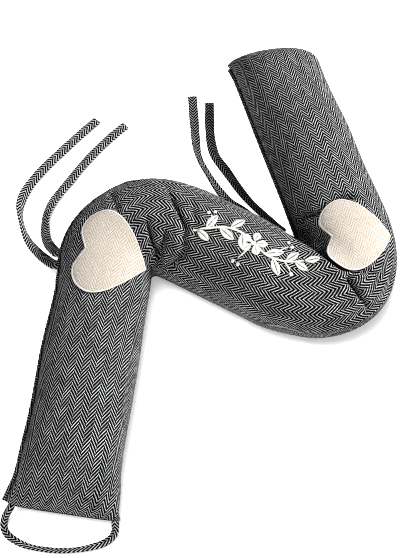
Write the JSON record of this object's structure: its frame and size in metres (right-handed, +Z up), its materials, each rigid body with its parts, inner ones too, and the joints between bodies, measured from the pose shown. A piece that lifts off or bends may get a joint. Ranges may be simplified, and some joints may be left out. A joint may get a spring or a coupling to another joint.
{
  "type": "draught excluder",
  "caption": "Long filled tweed tube that lies along a door's foot, bent in a Z, with felt hearts, flat ties and a hanging loop.",
  "frame": {"origin": "on the floor, under the middle of the filled tube's box", "axes": "+Z up, +Y from the end with the hanging loop towards the far end, +X to the right of that"},
  "size_m": [0.4443, 0.6224, 0.0887],
  "materials": {
    "tweed": "woven herringbone, black and off-white yarn",
    "trim": "folded tweed, twisted look",
    "cream": "brushed cream herringbone with a stitched edge"
  },
  "bodies": {
    "root": {"cover": "tweed", "side_piping": "trim", "heart_patch_1": "cream", "heart_patch_2": "cream", "tie_1a": "tweed", "tie_1b": "tweed", "tie_2a": "tweed", "tie_2b": "tweed", "hang_loop": "tweed"}
  },
  "joints": []
}
